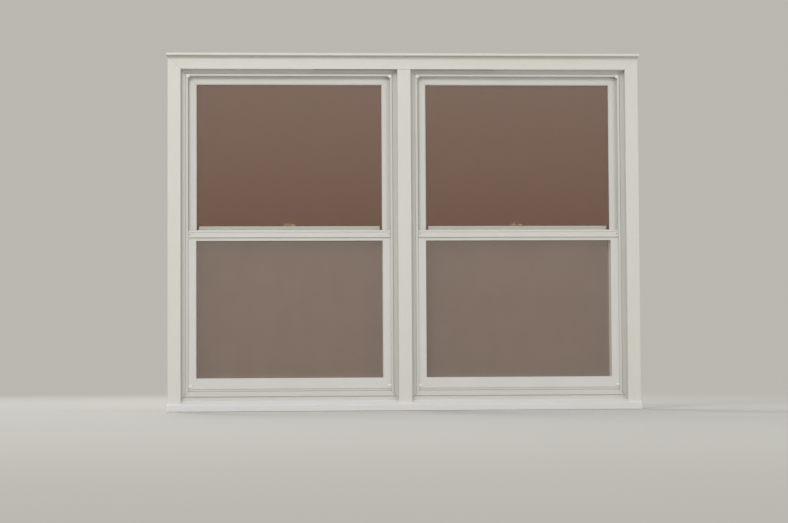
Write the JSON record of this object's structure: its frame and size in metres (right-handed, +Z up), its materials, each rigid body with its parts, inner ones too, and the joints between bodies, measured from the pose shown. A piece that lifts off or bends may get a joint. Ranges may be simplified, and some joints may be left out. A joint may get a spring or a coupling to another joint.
{
  "type": "twin double-hung sash window",
  "caption": "Mulled pair of double-hung sash windows in one box frame with casing, drip cap and sloping sill, sliding sashes on balances, cam locks and half insect screens.",
  "frame": {"origin": "the underside of the sill, below the middle of the mullion, at the back of the casing", "axes": "+X along the wall to the right seen from outdoors, +Y from outdoors into the room, +Z up"},
  "size_m": [1.803, 0.161, 1.3621],
  "materials": {
    "exterior_trim": "painted white, satin",
    "frame_boards": "bare pine",
    "unit_frame": "white vinyl, satin",
    "sash": "white vinyl, satin",
    "glass": "clear",
    "spacer": "mill",
    "screen_frame": "painted white",
    "insect_mesh": "grey glass-fibre weave",
    "lock_brass": "dull",
    "latch_plastic": "white",
    "tube": "white",
    "steel": "zinc plated"
  },
  "bodies": {
    "frame": {"sill": "exterior_trim", "left_jamb_board": "frame_boards", "right_jamb_board": "frame_boards", "mullion_post": "frame_boards", "head_board": "frame_boards", "head_casing": "exterior_trim", "left_casing": "exterior_trim", "right_casing": "exterior_trim", "mullion_casing": "exterior_trim", "drip_cap": "exterior_trim", "interior_stops": "frame_boards", "left_unit_frame": "unit_frame", "right_unit_frame": "unit_frame", "balance_tubes": "tube"},
    "left_upper_sash": {"left_upper_sash": "sash", "left_upper_panes": "glass", "left_upper_spacer": "spacer", "left_upper_beads": "sash", "left_upper_shoes": "latch_plastic", "left_upper_rods_and_pivots": "steel", "left_lock_keeper": "lock_brass"},
    "left_upper_left_latch": {"left_upper_left_latch": "latch_plastic"},
    "left_upper_right_latch": {"left_upper_right_latch": "latch_plastic"},
    "left_lower_sash": {"left_lower_sash": "sash", "left_lower_panes": "glass", "left_lower_spacer": "spacer", "left_lower_beads": "sash", "left_lower_shoes": "latch_plastic", "left_lower_rods_and_pivots": "steel", "left_lock_base": "lock_brass"},
    "left_lower_left_latch": {"left_lower_left_latch": "latch_plastic"},
    "left_lower_right_latch": {"left_lower_right_latch": "latch_plastic"},
    "left_lock_lever": {"left_lock_lever": "lock_brass"},
    "left_screen": {"left_screen_frame": "screen_frame", "left_screen_mesh": "insect_mesh", "left_screen_bar": "screen_frame"},
    "right_upper_sash": {"right_upper_sash": "sash", "right_upper_panes": "glass", "right_upper_spacer": "spacer", "right_upper_beads": "sash", "right_upper_shoes": "latch_plastic", "right_upper_rods_and_pivots": "steel", "right_lock_keeper": "lock_brass"},
    "right_upper_left_latch": {"right_upper_left_latch": "latch_plastic"},
    "right_upper_right_latch": {"right_upper_right_latch": "latch_plastic"},
    "right_lower_sash": {"right_lower_sash": "sash", "right_lower_panes": "glass", "right_lower_spacer": "spacer", "right_lower_beads": "sash", "right_lower_shoes": "latch_plastic", "right_lower_rods_and_pivots": "steel", "right_lock_base": "lock_brass"},
    "right_lower_left_latch": {"right_lower_left_latch": "latch_plastic"},
    "right_lower_right_latch": {"right_lower_right_latch": "latch_plastic"},
    "right_lock_lever": {"right_lock_lever": "lock_brass"},
    "right_screen": {"right_screen_frame": "screen_frame", "right_screen_mesh": "insect_mesh", "right_screen_bar": "screen_frame"}
  },
  "joints": [
    {"name": "left_upper_sash_slide", "type": "slide", "parent": "frame", "child": "left_upper_sash", "axis": [0, 0, -1], "range_m": [0, 0.54]},
    {"name": "left_upper_left_latch_slide", "type": "slide", "parent": "left_upper_sash", "child": "left_upper_left_latch", "axis": [1, 0, 0], "range_m": [0, 0.008], "stiffness_N_per_m": 300, "springref_m": -0.004},
    {"name": "left_upper_right_latch_slide", "type": "slide", "parent": "left_upper_sash", "child": "left_upper_right_latch", "axis": [-1, 0, 0], "range_m": [0, 0.008], "stiffness_N_per_m": 300, "springref_m": -0.004},
    {"name": "left_lower_sash_slide", "type": "slide", "parent": "frame", "child": "left_lower_sash", "axis": [0, 0, 1], "range_m": [0, 0.54]},
    {"name": "left_lower_left_latch_slide", "type": "slide", "parent": "left_lower_sash", "child": "left_lower_left_latch", "axis": [1, 0, 0], "range_m": [0, 0.008], "stiffness_N_per_m": 300, "springref_m": -0.004},
    {"name": "left_lower_right_latch_slide", "type": "slide", "parent": "left_lower_sash", "child": "left_lower_right_latch", "axis": [-1, 0, 0], "range_m": [0, 0.008], "stiffness_N_per_m": 300, "springref_m": -0.004},
    {"name": "left_lock_lever_turn", "type": "hinge", "parent": "left_lower_sash", "child": "left_lock_lever", "pos_m": [-0.4365, 0.06, 0.7075], "axis": [0, 0, 1], "range_deg": [0, 120]},
    {"name": "left_screen_slide", "type": "slide", "parent": "frame", "child": "left_screen", "axis": [0, 0, 1], "range_m": [0, 0.58]},
    {"name": "right_upper_sash_slide", "type": "slide", "parent": "frame", "child": "right_upper_sash", "axis": [0, 0, -1], "range_m": [0, 0.54]},
    {"name": "right_upper_left_latch_slide", "type": "slide", "parent": "right_upper_sash", "child": "right_upper_left_latch", "axis": [1, 0, 0], "range_m": [0, 0.008], "stiffness_N_per_m": 300, "springref_m": -0.004},
    {"name": "right_upper_right_latch_slide", "type": "slide", "parent": "right_upper_sash", "child": "right_upper_right_latch", "axis": [-1, 0, 0], "range_m": [0, 0.008], "stiffness_N_per_m": 300, "springref_m": -0.004},
    {"name": "right_lower_sash_slide", "type": "slide", "parent": "frame", "child": "right_lower_sash", "axis": [0, 0, 1], "range_m": [0, 0.54]},
    {"name": "right_lower_left_latch_slide", "type": "slide", "parent": "right_lower_sash", "child": "right_lower_left_latch", "axis": [1, 0, 0], "range_m": [0, 0.008], "stiffness_N_per_m": 300, "springref_m": -0.004},
    {"name": "right_lower_right_latch_slide", "type": "slide", "parent": "right_lower_sash", "child": "right_lower_right_latch", "axis": [-1, 0, 0], "range_m": [0, 0.008], "stiffness_N_per_m": 300, "springref_m": -0.004},
    {"name": "right_lock_lever_turn", "type": "hinge", "parent": "right_lower_sash", "child": "right_lock_lever", "pos_m": [0.4365, 0.06, 0.7075], "axis": [0, 0, 1], "range_deg": [0, 120]},
    {"name": "right_screen_slide", "type": "slide", "parent": "frame", "child": "right_screen", "axis": [0, 0, 1], "range_m": [0, 0.58]}
  ]
}
